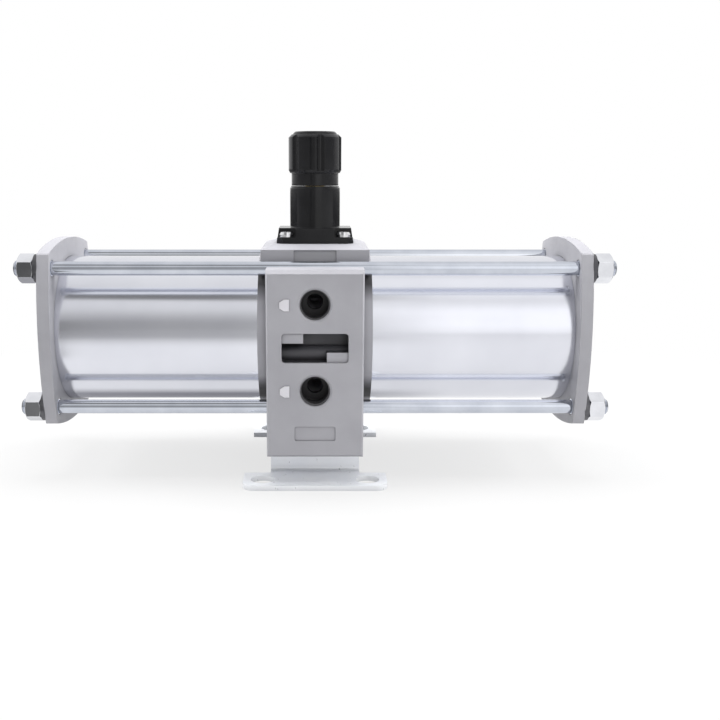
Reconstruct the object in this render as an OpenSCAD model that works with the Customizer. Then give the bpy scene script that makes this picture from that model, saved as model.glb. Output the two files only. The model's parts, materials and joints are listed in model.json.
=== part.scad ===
// Air pressure booster: a piston pump that doubles line pressure with two tubes,
// four tie rods, a central valve body, a regulator with a knob and a foot bracket.
// Millimetres. X runs along the tubes, -Y is the port side, Z is up, floor at zero.

/* [Main sizes] */
// Length over the tie rod tips
overall_length = 300; // [285:1:330]
// Inside diameter of both tubes
bore_d = 70; // [68:0.5:72]
// Wall of the tubes
tube_wall = 3.5; // [3:0.1:4.5]
// Height of the tube axis over the floor
axis_height = 73; // [72:0.5:80]

/* [Tie rods] */
// How far the rod centres lie inside the tube radius, up and across
rod_inset = 3; // [2:0.1:3.5]
// Diameter of the plain shank
rod_shank_d = 7.1; // [6.5:0.1:7.5]
// Diameter over the threaded ends
rod_thread_d = 8; // [7.8:0.1:8.2]
// Length of the threaded ends
rod_thread_length = 18.5; // [16:0.5:22]
// Thread standing out past each nut
rod_tip = 2.5; // [1:0.1:4]
// Nut across flats
nut_flats = 13; // [12.5:0.1:14]
// Nut height
nut_height = 8; // [6.5:0.1:9]
// Spring washer thickness
washer_thickness = 2.1; // [1.8:0.1:2.6]
// Spring washer outside diameter
washer_d = 14.4; // [13.5:0.1:15]

/* [End covers] */
// Thickness of the cover plates
cover_thickness = 6; // [5:0.1:8]
// How far the middle of the front and rear sides stands out past the rod centres
side_margin = 11; // [10:0.1:13]
// How far the middle of the top and bottom sides stands out past the rod centres
top_margin = 13; // [12:0.1:14]
// Radius of the bowed sides
side_arc_r = 160; // [120:5:220]
// Metal outside the rods, along the diagonal
corner_margin = 8.8; // [8:0.1:10]
// Radius of the round pad on the outer face
cover_pad_r = 25; // [20:0.5:28]
// Height of the round pad
cover_pad_height = 3; // [2:0.1:5]
// Width of the rim round the dished middle of the pad
cover_pad_rim = 5; // [3:0.1:7]

/* [Tube seats] */
// Depth of the ring grooves that hold the tube ends
tube_seat = 3; // [2.5:0.1:3.5]
// Thickness of the flat gaskets in the grooves
gasket_thickness = 1; // [0.6:0.1:1.4]

/* [Body] */
// Half the length of the body, over the bosses
body_half = 29; // [28:0.5:33]
// Length of the round bosses that take the tubes
boss_length = 5; // [4:0.1:5]
// Metal round the tube in those bosses
boss_wall = 2.5; // [2:0.1:3]
// Front face distance from the tube axis
front_reach = 54; // [52:0.5:57]
// Rear face distance from the tube axis
rear_reach = 52; // [50:0.5:56]
// Front block top over the rod centres
front_block_rise = 1.1; // [0:0.1:3]
// Bevel along the top of the front block
front_bevel = 2; // [1:0.1:3]
// Bevel along the upright edges of the blocks
side_bevel = 0.8; // [0.4:0.1:1.5]
// Height of the body bottom over the floor
body_bottom = 16; // [15:0.1:18]
// Half width of the top block
top_block_half = 27.5; // [26:0.1:28]
// Half depth of the top block
top_block_reach = 29; // [28:0.1:30]
// Height of the body top over the tube axis
top_rise = 46.5; // [45:0.1:50]
// Drop of the sloped shoulder round the top block
shoulder_drop = 2.3; // [1.5:0.1:3]

/* [Ports] */
// Bore of the main ports, at the thread crests
port_d = 15; // [13:0.1:16]
// Depth of the port threads
port_depth = 14; // [11:0.5:14]
// Depth of the exhaust port thread on the rear
exhaust_depth = 10; // [8:0.5:10]
// Upper port height over the tube axis
port_high = 19.5; // [18.5:0.1:20.5]
// Lower port depth under the tube axis
port_low = 23.5; // [22.5:0.1:24]
// Bore of the gauge ports on the rear
gauge_port_d = 8.6; // [8:0.1:10]
// Side distance of the gauge ports
gauge_port_x = 14; // [12:0.1:16]

/* [Front face] */
// Width of the window between the ports
panel_width = 32.8; // [30:0.1:36]
// Height of the window between the ports
panel_height = 14.6; // [13:0.1:15]
// Depth of the window between the ports
panel_depth = 11; // [8:0.1:13]
// Radius of the round bar across the back of the window
window_bar_r = 4.5; // [3:0.1:5]
// Width of the two tabs that reach into the window
tab_width = 9.8; // [8:0.1:12]
// Height of the two tabs
tab_height = 5; // [4:0.1:6]
// Setback of the two tabs from the front face
tab_drop = 1.2; // [0.5:0.1:2]
// Width of the blank name recess
name_width = 20.2; // [18:0.1:24]
// Height of the blank name recess
name_height = 7.2; // [6:0.1:9]
// Middle of the name recess under the tube axis
name_drop = 45; // [43:0.1:48]
// Depth of the shallow recesses
recess_depth = 0.7; // [0.4:0.1:1]
// Width of the blank recess on the top block
top_panel_width = 21.6; // [18:0.1:24]
// Height of the blank recess on the top block
top_panel_height = 5.6; // [4:0.1:6]
// Side distance of the flow marks
mark_x = 15; // [14:0.1:17]
// Width of the flow marks
mark_width = 4.8; // [4:0.1:6]
// Height of the flow marks at their wide side
mark_height = 5.8; // [5:0.1:7]

/* [Bracket] */
// Sheet thickness
sheet = 2.7; // [2.3:0.1:3.2]
// Width of the feet
foot_width = 73; // [70:0.5:80]
// Length over both feet, front to rear
foot_length = 118; // [114:0.5:124]
// Foot hole spacing along the tubes
hole_pitch_x = 53; // [50:0.5:54]
// Foot hole centres from the outer edge of the foot
hole_edge = 10; // [9:0.1:11]
// Foot hole diameter
foot_hole_d = 12; // [11:0.1:13]
// Width of the raised middle
web_width = 46; // [42:0.5:47]
// Outer face of the webs from the tube axis
web_reach = 34; // [33:0.1:35]

/* [Regulator] */
// Side of the square bonnet flange
bonnet_side = 39.5; // [38.5:0.1:42]
// Thickness of the bonnet flange
bonnet_flange = 7.5; // [7:0.1:9]
// Outside diameter of the bonnet
bonnet_d = 26.3; // [25.6:0.1:28]
// Bonnet top over the body top
bonnet_rise = 28.9; // [28:0.1:31]
// Spacing of the bonnet screws, both ways
bonnet_screw_pitch = 29.5; // [29:0.1:30.5]
// Diameter over the knob lobes
knob_d = 27.7; // [26:0.1:29]
// Diameter of the plain skirt below the lobes
skirt_d = 24.7; // [24:0.1:25.5]
// Height of the plain skirt
skirt_height = 6.4; // [5:0.1:7]
// Height of the lobed grip
grip_height = 20.3; // [19:0.1:23]
// Diameter of the cap on the knob
cap_d = 22.8; // [21:0.1:23.5]

/* [Drive] */
// Piston thickness
piston_thickness = 16; // [15:0.5:18]
// Piston rod diameter
piston_rod_d = 16; // [15:0.1:16.5]
// Bumper thickness
bumper_thickness = 4; // [3:0.1:4.5]
// How far the spool pins stand out of the body at rest
pin_stand = 2.5; // [2.2:0.1:2.8]

/* [Fits] */
// Radial gap of sliding pieces
slide_gap = 0.05; // [0.03:0.01:0.08]
// Radial gap of pieces that sit fixed in a bore
seat_gap = 0.03; // [0.02:0.01:0.06]
// Radial gap of the pistons in the tubes
piston_gap = 0.35; // [0.3:0.05:0.5]
// Radial gap of bolts in their holes
bolt_gap = 0.3; // [0.2:0.05:0.4]

/* [Hidden] */
$fn = 64;
eps = 0.02;
cut = 1;
lap = 1;
core_inset = 1;
base_bevel = 1;
tube_r = bore_d / 2 + tube_wall;
bore_r = bore_d / 2;
rod_pos = tube_r - rod_inset;
rod_hole_r = rod_thread_d / 2 + bolt_gap;
side_mid = rod_pos + side_margin;
top_mid = rod_pos + top_margin;
corner_r = rod_pos * sqrt(2) + corner_margin;
split_lean = 14;
split_width = 1.1;
washer_in = overall_length / 2 - rod_tip - nut_height - washer_thickness;
nut_in = washer_in + washer_thickness;
cover_in = washer_in - cover_thickness;
block_half = body_half - boss_length;
block_top = axis_height + rod_pos + front_block_rise;
body_top = axis_height + top_rise;
panel_lift = 0.2;
panel_mid = axis_height + (port_high - port_low) / 2 + panel_lift;
window_bar_drop = 4.5;
tab_inset = 0.8;
mark_lift = 0.6;
top_panel_drop = 0.4;
top_panel_mid = body_top - shoulder_drop - top_panel_drop - top_panel_height / 2;
hole_pitch_y = foot_length - 2 * hole_edge;
piston_mid = (body_half + cover_in) / 2;
piston_in = piston_mid - piston_thickness / 2;
piston_out = piston_mid + piston_thickness / 2;
rod_r = piston_rod_d / 2;
bush_wall = 3;
seal_width = 4;
bush_r = rod_r + bush_wall;
seal_r = rod_r + seal_width;
bush_half = 16;
bumper_inset = 13;
bumper_width = 8;
bumper_r = bore_r - bumper_inset;
bumper_hole_r = bumper_r - bumper_width;
seal_length = 5;
retainer_gap = 0.5;
stub_r = 5;
piston_nut_flats = 15;
piston_nut_height = 5;
piston_recess = 6;
piston_recess_r = 9.5;
ring_groove = 3;
ring_depth = 3;
ring_inset = 2.5;
ring_play = 0.1;
spool_side = 8.5;
spool_y = seal_r + spool_side;
sleeve_r = 7;
spool_r = 5;
spool_half = 21;
spool_pin_r = 2.5;
plug_length = 5;
check_y = -9;
check_r = 5;
check_floor = 12;
check_seat_in = 24;
check_seat_length = 3;
check_hole_r = 2.5;
poppet_length = 4;
poppet_gap = 0.1;
passage_r = 4;
knob_gap = 0.3;
knob_base = body_top + bonnet_rise + knob_gap;
grip_base = knob_base + skirt_height;
grip_top = grip_base + grip_height;
roof = 4;
bonnet_ledge = 1;
bonnet_lip = 0.8;
bonnet_step = 0.5;
flange_lean = 0.9;
flange_foot = 1.5;
bonnet_wall = 2.4;
cavity_r = bonnet_d / 2 - bonnet_wall;
diaphragm_r = 17.5;
diaphragm_thickness = 1.2;
plate_thickness = 2;
plate_r = 9;
spring_room_r = 13;
spring_room = 4.5;
screw_r = 4;
screw_neck = 1.1;
screw_neck_r = screw_r + screw_neck;
screw_collar_r = 7;
screw_collar = 2.2;
drive_length = 17;
screw_low = 6;
drive_flats = 8;
seat_rise = 19.5;
seat_top = body_top + seat_rise;
seat_thickness = 5;
governor_r = 5;
governor_depth = 17;
governor_seat_depth = 8.5;
governor_floor = body_top - governor_depth;
governor_seat_low = body_top - governor_seat_depth;
governor_seat_length = 2;
bend_r = 2;
foot_corner_r = 6;
valve_length = 3;
valve_stem_r = 1.5;
valve_gap = 0.8;
wire = 1.2;
spring_r = 7.2;
check_wire = 0.8;
check_spring_r = 3.4;
governor_wire = 0.9;
governor_spring_r = 3;
bracket_screw_x = 15;
bracket_screw_y = 20;
bracket_screw_d = 5;
bracket_screw_depth = 8;
bracket_key_r = 2.3;
bracket_key_depth = 2;
tap_spare = 2;
bracket_head_d = 9;
bracket_head_height = 3.4;
bonnet_screw_d = 4;
bonnet_screw_depth = 8;
bonnet_head_d = 7.2;
bonnet_head_height = 2.6;
pocket_floor = 3.2;
notch_side = 9.6;
grip_grooves = 6;
grip_edge = 1.6;
cap_drop = 0.5;
cap_edge = 0.9;
cap_rise = 1.3;
groove_foot = 1.2;
skirt_wall = 3;
groove_start = 12;
drive_gap = 0.15;
groove_r = 2.4;
groove_out = 1.1;
sleeve_port_x = 12;
sleeve_port_r = 1.6;
land_x = 9;
land_half = 4;
land_core_r = 3;
gauge_depth = 9;
port_chamfer = 1;

// Helpers

// A round bar along X from one place to another
module x_bar(from, to, r, y = 0, z = axis_height) {
  translate([from, y, z])
    rotate([0, 90, 0])
      cylinder(r = r, h = to - from);
}

// A ring along X
module x_ring(from, to, outer, inner, y = 0, z = axis_height) {
  difference() {
    x_bar(from, to, outer, y, z);
    x_bar(from - cut, to + cut, inner, y, z);
  }
}

// A round hole or bar along Y
module y_bar(from, to, r, x, z) {
  translate([x, from, z])
    rotate([-90, 0, 0])
      cylinder(r = r, h = to - from);
}

// A round bar straight up
module z_bar(from, to, r, x = 0, y = 0) {
  translate([x, y, from])
    cylinder(r = r, h = to - from);
}

// A ring straight up
module z_ring(from, to, outer, inner, x = 0, y = 0) {
  difference() {
    z_bar(from, to, outer, x, y);
    z_bar(from - cut, to + cut, inner, x, y);
  }
}

// A box from corner to corner
module block(low, high) {
  translate(low)
    cube(high - low);
}

// Both ends of the object
module both_ends() {
  children();
  mirror([1, 0, 0])
    children();
}

// The four tie rod places
module at_rods() {
  for (y = [-1, 1])
    for (z = [-1, 1])
      translate([0, y * rod_pos, axis_height + z * rod_pos])
        children();
}

// The four corners of a rectangle
module at_corners(x_pitch, y_pitch) {
  for (x = [-1, 1])
    for (y = [-1, 1])
      translate([x * x_pitch / 2, y * y_pitch / 2, 0])
        children();
}

// Square with bowed sides and blunt round corners
module bowed_outline() {
  intersection() {
    for_side(0, top_mid);
    for_side(90, side_mid);
    for_side(180, top_mid);
    for_side(270, side_mid);
    circle(r = corner_r);
  }
}

module for_side(turn, reach) {
  rotate([0, 0, turn])
    translate([reach - side_arc_r, 0, 0])
      circle(r = side_arc_r, $fn = 180);
}

// Bowed plate along X
module bowed_plate(from, to) {
  translate([from, 0, axis_height])
    rotate([0, 90, 0])
      linear_extrude(to - from)
        bowed_outline();
}

// Ring groove for a tube end, open towards the tube
module tube_groove(from, to) {
  x_ring(from, to, tube_r + seat_gap, bore_r - seat_gap);
}

// Helical spring of square wire, standing on z = 0
module coil(length, mid_r, turns, size) {
  span = 360 * size / (length - size) * turns;
  steps = 4;
  points_out = [for (i = [0:steps]) (mid_r + size / 2) * [cos(span * i / steps), sin(span * i / steps)]];
  points_in = [for (i = [steps:-1:0]) (mid_r - size / 2) * [cos(span * i / steps), sin(span * i / steps)]];
  linear_extrude(length, twist = -360 * turns, slices = turns * 12, $fn = 8)
    polygon(concat(points_out, points_in));
}

// Hexagon bar with chamfered ends, standing on z = 0, one corner up when laid along X
module hex_nut(flats, height, hole_r) {
  outer_r = flats / sqrt(3);
  face_share = 0.97;
  chamfer = outer_r - flats / 2 * face_share;
  slope = chamfer * tan(30);
  difference() {
    intersection() {
      cylinder(r = outer_r, h = height, $fn = 6);
      rotate_extrude()
        polygon([[0, 0], [outer_r - chamfer, 0], [outer_r, slope], [outer_r, height - slope],
          [outer_r - chamfer, height], [0, height]]);
    }
    translate([0, 0, -cut])
      cylinder(r = hole_r, h = height + 2 * cut);
  }
}

// Body casting

module body() {
  color([0.56, 0.56, 0.58])
    difference() {
      union() {
        both_ends()
          x_bar(block_half - lap, body_half, tube_r + boss_wall);
        block([-block_half, -top_block_reach + core_inset, body_bottom],
          [block_half, top_block_reach - core_inset, body_top - shoulder_drop]);
        difference() {
          front_block();
          window();
        }
        window_bar();
        rear_block();
        top_block();
        flow_mark(axis_height + port_high);
        flow_mark(axis_height - port_low);
      }
      at_rods()
        x_bar(-body_half - cut, body_half + cut, rod_hole_r, 0, 0);
      both_ends()
        tube_groove(body_half - tube_seat, body_half + cut);
      blank_recesses();
      port_cuts();
      rod_cuts();
      governor_cuts();
      at_corners(bonnet_screw_pitch, bonnet_screw_pitch)
        z_bar(body_top - bonnet_screw_depth - cut, body_top + cut, bonnet_screw_d / 2 + seat_gap);
      at_corners(2 * bracket_screw_x, 2 * bracket_screw_y)
        z_bar(body_bottom - cut, body_bottom + bracket_screw_depth + tap_spare,
          bracket_screw_d / 2 + seat_gap);
    }
}

// Plan of a block with bevelled upright edges
module block_plan(half, near, far) {
  polygon([[-half, far], [-half, near + side_bevel], [-half + side_bevel, near],
    [half - side_bevel, near], [half, near + side_bevel], [half, far]]);
}

// Block with a bevelled top edge, facing -Y
module faced_block(reach, low, high) {
  intersection() {
    translate([0, 0, low])
      linear_extrude(high - low)
        block_plan(block_half, -reach, -top_block_reach + 2 * core_inset);
    rotate([90, 0, 90])
      translate([0, 0, -block_half - cut])
        linear_extrude(2 * block_half + 2 * cut)
          polygon([[-reach, low + base_bevel], [-reach + base_bevel, low], [0, low], [0, high],
            [-reach + front_bevel, high], [-reach, high - front_bevel]]);
  }
}

module front_block() {
  faced_block(front_reach, body_bottom, block_top);
}

module rear_block() {
  rotate([0, 0, 180])
    faced_block(rear_reach, body_bottom, block_top);
}

// Block under the regulator, with a sloped shoulder
module top_block() {
  low = axis_height + rod_pos - rod_shank_d / 2;
  edge = bonnet_side / 2 + bonnet_ledge;
  intersection() {
    block([-top_block_half, -top_block_reach, low], [top_block_half, top_block_reach, body_top]);
    rotate([90, 0, 90])
      translate([0, 0, -top_block_half - cut])
        linear_extrude(2 * top_block_half + 2 * cut)
          polygon([[-top_block_reach, low], [top_block_reach, low],
            [top_block_reach, body_top - shoulder_drop], [edge, body_top],
            [-edge, body_top], [-top_block_reach, body_top - shoulder_drop]]);
    rotate([90, 0, 0])
      translate([0, 0, -top_block_reach - cut])
        linear_extrude(2 * top_block_reach + 2 * cut)
          polygon([[-top_block_half, low], [top_block_half, low],
            [top_block_half, body_top - shoulder_drop], [edge, body_top],
            [-edge, body_top], [-top_block_half, body_top - shoulder_drop]]);
  }
}

// Raised pad that shows which way the air flows
module flow_mark(height) {
  wide = mark_height / 2;
  narrow = mark_height / 4;
  translate([-mark_x, -front_reach + eps, height])
    rotate([90, 0, 0])
      linear_extrude(mark_lift)
        polygon([[-mark_width / 2, -narrow], [0, -wide], [mark_width / 2, -wide],
          [mark_width / 2, wide], [0, wide], [-mark_width / 2, narrow]]);
}

// Rectangle with round corners, from plain squares and circles
module soft_rectangle(width, height, r) {
  square([width - 2 * r, height], center = true);
  square([width, height - 2 * r], center = true);
  for (x = [-1, 1])
    for (y = [-1, 1])
      translate([x * (width / 2 - r), y * (height / 2 - r)])
        circle(r = r, $fn = 24);
}

// Deep window in the front face, with two tabs set back a little and reaching into it
module window() {
  translate([0, -front_reach + tab_drop, panel_mid])
    rotate([90, 0, 0])
      linear_extrude(tab_drop + cut)
        soft_rectangle(panel_width, panel_height, 2 * tab_inset);
  translate([0, -front_reach + panel_depth, panel_mid])
    rotate([90, 0, 0])
      linear_extrude(panel_depth + cut)
        difference() {
          soft_rectangle(panel_width, panel_height, 2 * tab_inset);
          translate([-panel_width / 2 - tab_inset, panel_height / 2 - tab_height])
            square([tab_width + 2 * tab_inset, tab_height + tab_inset]);
          translate([panel_width / 2 - tab_width - tab_inset, -panel_height / 2 - tab_inset])
            square([tab_width + 2 * tab_inset, tab_height + tab_inset]);
        }
}

// Round bar across the back of the window, half sunk in its back wall
module window_bar() {
  x_bar(-panel_width / 2 - cut, panel_width / 2 + cut, window_bar_r, -front_reach + panel_depth,
    panel_mid - window_bar_drop);
}

// Shallow blank recesses on the front face and the top block
module blank_recesses() {
  translate([0, -front_reach + recess_depth, axis_height - name_drop])
    rotate([90, 0, 0])
      linear_extrude(recess_depth + cut)
        soft_rectangle(name_width, name_height, tab_inset);
  translate([0, -top_block_reach + recess_depth, top_panel_mid])
    rotate([90, 0, 0])
      linear_extrude(recess_depth + cut)
        square([top_panel_width, top_panel_height], center = true);
}

// One tapped port from the front or rear face
module port(x, z, d, depth) {
  y_bar(-cut, depth, d / 2, x, z);
  translate([x, 0, z])
    rotate([-90, 0, 0])
      cylinder(r1 = d / 2 + port_chamfer, r2 = d / 2, h = port_chamfer);
}

module port_cuts() {
  translate([0, -front_reach, 0]) {
    port(0, axis_height + port_high, port_d, port_depth);
    port(0, axis_height - port_low, port_d, port_depth);
  }
  rotate([0, 0, 180])
    translate([0, -rear_reach, 0]) {
      port(0, axis_height - port_low, port_d, exhaust_depth);
      port(gauge_port_x, axis_height + port_high, gauge_port_d, gauge_depth);
      port(-gauge_port_x, axis_height + port_high, gauge_port_d, gauge_depth);
    }
  for (z = [port_high, -port_low])
    y_bar(-front_reach + port_depth - cut, check_y, passage_r, 0, axis_height + z);
  y_bar(spool_y, rod_pos, passage_r, 0, axis_height);
  y_bar(rod_pos, rear_reach - exhaust_depth + cut, passage_r, 0, axis_height - port_low);
  z_bar(axis_height - port_low, axis_height, passage_r, 0, rod_pos);
  for (z = [port_high, -port_low]) {
    x_bar(-body_half, body_half, check_hole_r, check_y, axis_height + z);
    both_ends()
      x_bar(check_floor, body_half + cut, check_r, check_y, axis_height + z);
  }
}

module rod_cuts() {
  x_bar(-body_half, body_half, bush_r + seat_gap);
  both_ends()
    x_bar(bush_half, body_half + cut, seal_r + seat_gap);
  x_bar(-body_half - cut, body_half + cut, sleeve_r + seat_gap, spool_y);
}

module governor_cuts() {
  z_bar(body_top - diaphragm_thickness, body_top + cut, diaphragm_r + bolt_gap);
  z_bar(body_top - spring_room, body_top, spring_room_r);
  z_bar(governor_floor, body_top, governor_r + seat_gap);
}

// Tubes, covers and tie rods

module tube() {
  x_ring(body_half - tube_seat + gasket_thickness, cover_in + tube_seat - gasket_thickness,
    tube_r, bore_r);
}

module left_tube() {
  color([0.80, 0.81, 0.82])
    mirror([1, 0, 0])
      tube();
}

module right_tube() {
  color([0.80, 0.81, 0.82])
    tube();
}

module cover() {
  difference() {
    union() {
      bowed_plate(cover_in, washer_in);
      x_bar(washer_in - eps, washer_in + cover_pad_height, cover_pad_r);
    }
    tube_groove(cover_in - cut, cover_in + tube_seat);
    x_bar(washer_in + cover_pad_height / 3, washer_in + cover_pad_height + cut, cover_pad_r - cover_pad_rim);
    at_rods()
      x_bar(cover_in - cut, washer_in + cut, rod_hole_r, 0, 0);
  }
}

module left_cover() {
  color([0.56, 0.56, 0.58])
    mirror([1, 0, 0])
      cover();
}

module right_cover() {
  color([0.56, 0.56, 0.58])
    cover();
}

module tube_gaskets() {
  color([0.10, 0.10, 0.11])
    both_ends() {
      x_ring(body_half - tube_seat, body_half - tube_seat + gasket_thickness, tube_r, bore_r);
      x_ring(cover_in + tube_seat - gasket_thickness, cover_in + tube_seat, tube_r, bore_r);
    }
}

module tie_rods() {
  color([0.82, 0.83, 0.85])
    at_rods() {
      x_bar(-overall_length / 2 + cut, overall_length / 2 - cut, rod_shank_d / 2, 0, 0);
      both_ends()
        rod_end();
    }
}

module rod_end() {
  lead = 0.8;
  r = rod_thread_d / 2;
  translate([overall_length / 2 - rod_thread_length, 0, 0])
    rotate([0, 90, 0])
      rotate_extrude()
        polygon([[0, 0], [r, 0], [r, rod_thread_length - lead], [r - lead, rod_thread_length],
          [0, rod_thread_length]]);
}

module tie_rod_nuts() {
  color([0.62, 0.63, 0.66])
    both_ends()
      at_rods()
        translate([nut_in, 0, 0])
          rotate([0, 90, 0])
            hex_nut(nut_flats, nut_height, rod_thread_d / 2 + seat_gap);
}

module spring_washers() {
  color([0.35, 0.35, 0.37])
    both_ends()
      at_rods()
        difference() {
          x_ring(washer_in, nut_in, washer_d / 2, rod_hole_r, 0, 0);
          translate([washer_in - cut, 0, rod_thread_d / 2 - cut])
            rotate([0, 0, split_lean])
              cube([washer_thickness + 2 * cut, split_width, washer_d / 2]);
        }
}

// Foot bracket and its screws

module mounting_bracket() {
  color([0.70, 0.72, 0.78])
    difference() {
      union() {
        block([-web_width / 2, -web_reach + bend_r + sheet, body_bottom - sheet],
          [web_width / 2, web_reach - bend_r - sheet, body_bottom]);
        bracket_side();
        mirror([0, 1, 0])
          bracket_side();
      }
      at_corners(hole_pitch_x, hole_pitch_y)
        z_bar(-cut, sheet + cut, foot_hole_d / 2);
      at_corners(2 * bracket_screw_x, 2 * bracket_screw_y)
        z_bar(body_bottom - sheet - cut, body_bottom + cut, bracket_screw_d / 2 + bolt_gap);
    }
}

// One web with its two bends and its foot, on the -Y side
module bracket_side() {
  outer = bend_r + sheet;
  bend(-web_reach + outer, body_bottom - outer, 0, web_width);
  block([-web_width / 2, -web_reach, outer], [web_width / 2, -web_reach + sheet, body_bottom - outer]);
  bend(-web_reach - bend_r, outer, 180, web_width);
  linear_extrude(sheet)
    foot_plan();
}

// Quarter bend along X about a line at y, z
module bend(y, z, turn, width) {
  outer = bend_r + sheet;
  translate([-width / 2, y, z])
    rotate([turn, 0, 0])
      intersection() {
        rotate([0, 90, 0])
          difference() {
            cylinder(r = outer, h = width);
            translate([0, 0, -cut])
              cylinder(r = bend_r, h = width + 2 * cut);
          }
        translate([0, -outer - cut, 0])
          cube([width, outer + cut, outer + cut]);
      }
}

// Foot seen from above: wide pad with round front corners, narrow at the web
module foot_plan() {
  near = -foot_length / 2;
  far = -web_reach - bend_r;
  corner = foot_corner_r;
  neck = bend_r + cut;
  translate([-web_width / 2, far - neck])
    square([web_width, neck]);
  difference() {
    translate([-foot_width / 2, near])
      square([foot_width, far - bend_r - near]);
    for (side = [-1, 1])
      translate([side * (foot_width / 2 - corner), near + corner])
        difference() {
          translate([side > 0 ? 0 : -corner - cut, -corner - cut])
            square([corner + cut, corner + cut]);
          circle(r = corner);
        }
  }
}

module bracket_screws() {
  color([0.66, 0.67, 0.70])
    at_corners(2 * bracket_screw_x, 2 * bracket_screw_y) {
      z_bar(body_bottom - sheet - eps, body_bottom + bracket_screw_depth, bracket_screw_d / 2);
      difference() {
        z_bar(body_bottom - sheet - bracket_head_height, body_bottom - sheet, bracket_head_d / 2);
        translate([0, 0, body_bottom - sheet - bracket_head_height - cut])
          cylinder(r = bracket_key_r, h = cut + bracket_key_depth, $fn = 6);
      }
    }
}

// Regulator

module bonnet() {
  roof_low = body_top + bonnet_rise - roof;
  color([0.06, 0.06, 0.07])
    difference() {
      union() {
        bonnet_flange_solid();
        z_bar(body_top + bonnet_flange - eps, body_top + bonnet_rise - bonnet_lip, bonnet_d / 2);
        z_bar(body_top + bonnet_rise - cut, body_top + bonnet_rise, bonnet_d / 2 - bonnet_step);
      }
      z_bar(body_top - cut, body_top + spring_room, spring_room_r);
      z_bar(body_top, roof_low, cavity_r);
      z_bar(roof_low - cut, body_top + bonnet_rise + cut, screw_neck_r + slide_gap);
      at_corners(bonnet_screw_pitch, bonnet_screw_pitch)
        z_bar(body_top - cut, body_top + bonnet_flange, bonnet_screw_d / 2 + bolt_gap);
      at_corners(bonnet_side, bonnet_side)
        block([-notch_side, -notch_side, body_top + pocket_floor],
          [notch_side, notch_side, body_top + bonnet_flange + cut]);
    }
}

// Square flange with slightly leaning sides and bevelled upright edges
module bonnet_flange_solid() {
  half = bonnet_side / 2;
  corner_share = 1.3;
  intersection() {
    for_flange_side(0);
    for_flange_side(90);
    translate([0, 0, body_top])
      rotate([0, 0, 45])
        translate([-half * corner_share, -half * corner_share, 0])
          cube([2 * half * corner_share, 2 * half * corner_share, bonnet_flange]);
  }
}

module for_flange_side(turn) {
  half = bonnet_side / 2;
  rotate([0, 0, turn])
    rotate([90, 0, 0])
      translate([0, body_top, -bonnet_side])
        linear_extrude(2 * bonnet_side)
          polygon([[-half, 0], [half, 0], [half, flange_foot], [half - flange_lean, bonnet_flange],
            [-half + flange_lean, bonnet_flange], [-half, flange_foot]]);
}

module bonnet_screws() {
  low = body_top + pocket_floor;
  head_r = bonnet_head_d / 2;
  dome = 0.8;
  slot_half = 2.2;
  slot_width = 0.9;
  slot_turn = 20;
  color([0.86, 0.86, 0.88])
    at_corners(bonnet_screw_pitch, bonnet_screw_pitch)
      difference() {
        union() {
          z_bar(body_top - bonnet_screw_depth, low + eps, bonnet_screw_d / 2);
          translate([0, 0, low])
            rotate_extrude()
              polygon([[0, 0], [head_r, 0], [head_r, bonnet_head_height / 2],
                [head_r - dome, bonnet_head_height], [0, bonnet_head_height]]);
        }
        for (turn = [0, 90])
          rotate([0, 0, turn + slot_turn])
            block([-slot_half, -slot_width / 2, low + bonnet_head_height / 2],
              [slot_half, slot_width / 2, low + bonnet_head_height + cut]);
      }
}

module knob() {
  socket_top = grip_top - roof;
  skirt_room = skirt_height - grip_edge;
  r = knob_d / 2;
  top = skirt_height + grip_height;
  shoulder = top - cap_drop;
  color([0.05, 0.05, 0.06])
    difference() {
      translate([0, 0, knob_base])
        rotate_extrude()
          polygon([[0, 0], [skirt_d / 2, 0], [skirt_d / 2, skirt_height], [r - grip_edge / 2, skirt_height],
            [r, skirt_height + grip_edge], [r, shoulder - grip_edge], [r - grip_edge, shoulder],
            [cap_d / 2, shoulder], [cap_d / 2, top], [cap_d / 2 - cap_edge, top + cap_edge],
            [0, top + cap_rise]]);
      for (i = [0:grip_grooves - 1])
        rotate([0, 0, groove_start + 360 / grip_grooves * i])
          z_bar(grip_base + groove_foot, grip_top + cap_rise + cut, groove_r, 0, -r - groove_out);
      z_bar(knob_base - cut, knob_base + skirt_room, skirt_d / 2 - skirt_wall);
      translate([0, 0, knob_base + skirt_room - cut])
        cylinder(r = drive_flats / sqrt(3) + drive_gap, h = socket_top - knob_base - skirt_room + cut,
          $fn = 6);
    }
}

module adjusting_screw() {
  roof_low = body_top + bonnet_rise - roof;
  color([0.72, 0.66, 0.42]) {
    z_bar(body_top + screw_low, roof_low, screw_r);
    z_bar(roof_low - screw_collar, roof_low - slide_gap, screw_collar_r);
    z_bar(roof_low - 2 * slide_gap, knob_base + knob_gap, screw_neck_r);
    translate([0, 0, body_top + bonnet_rise])
      cylinder(r = drive_flats / sqrt(3), h = drive_length, $fn = 6);
  }
}

module spring_seat() {
  color([0.60, 0.60, 0.62])
    z_ring(seat_top - seat_thickness, seat_top, cavity_r - piston_gap, screw_r + slide_gap);
}

module pressure_spring() {
  low = body_top + plate_thickness;
  color([0.70, 0.71, 0.73])
    translate([0, 0, low])
      coil(seat_top - seat_thickness - low, spring_r, 3, wire);
}

module diaphragm() {
  color([0.14, 0.13, 0.12])
    z_bar(body_top - diaphragm_thickness, body_top, diaphragm_r);
}

module diaphragm_plate() {
  color([0.74, 0.75, 0.77])
    z_bar(body_top, body_top + plate_thickness, plate_r);
}

module governor_valve() {
  color([0.75, 0.68, 0.40]) {
    z_bar(governor_seat_low - valve_length, governor_seat_low, governor_r - valve_gap);
    z_bar(governor_seat_low - eps, body_top - diaphragm_thickness, valve_stem_r);
  }
}

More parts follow.
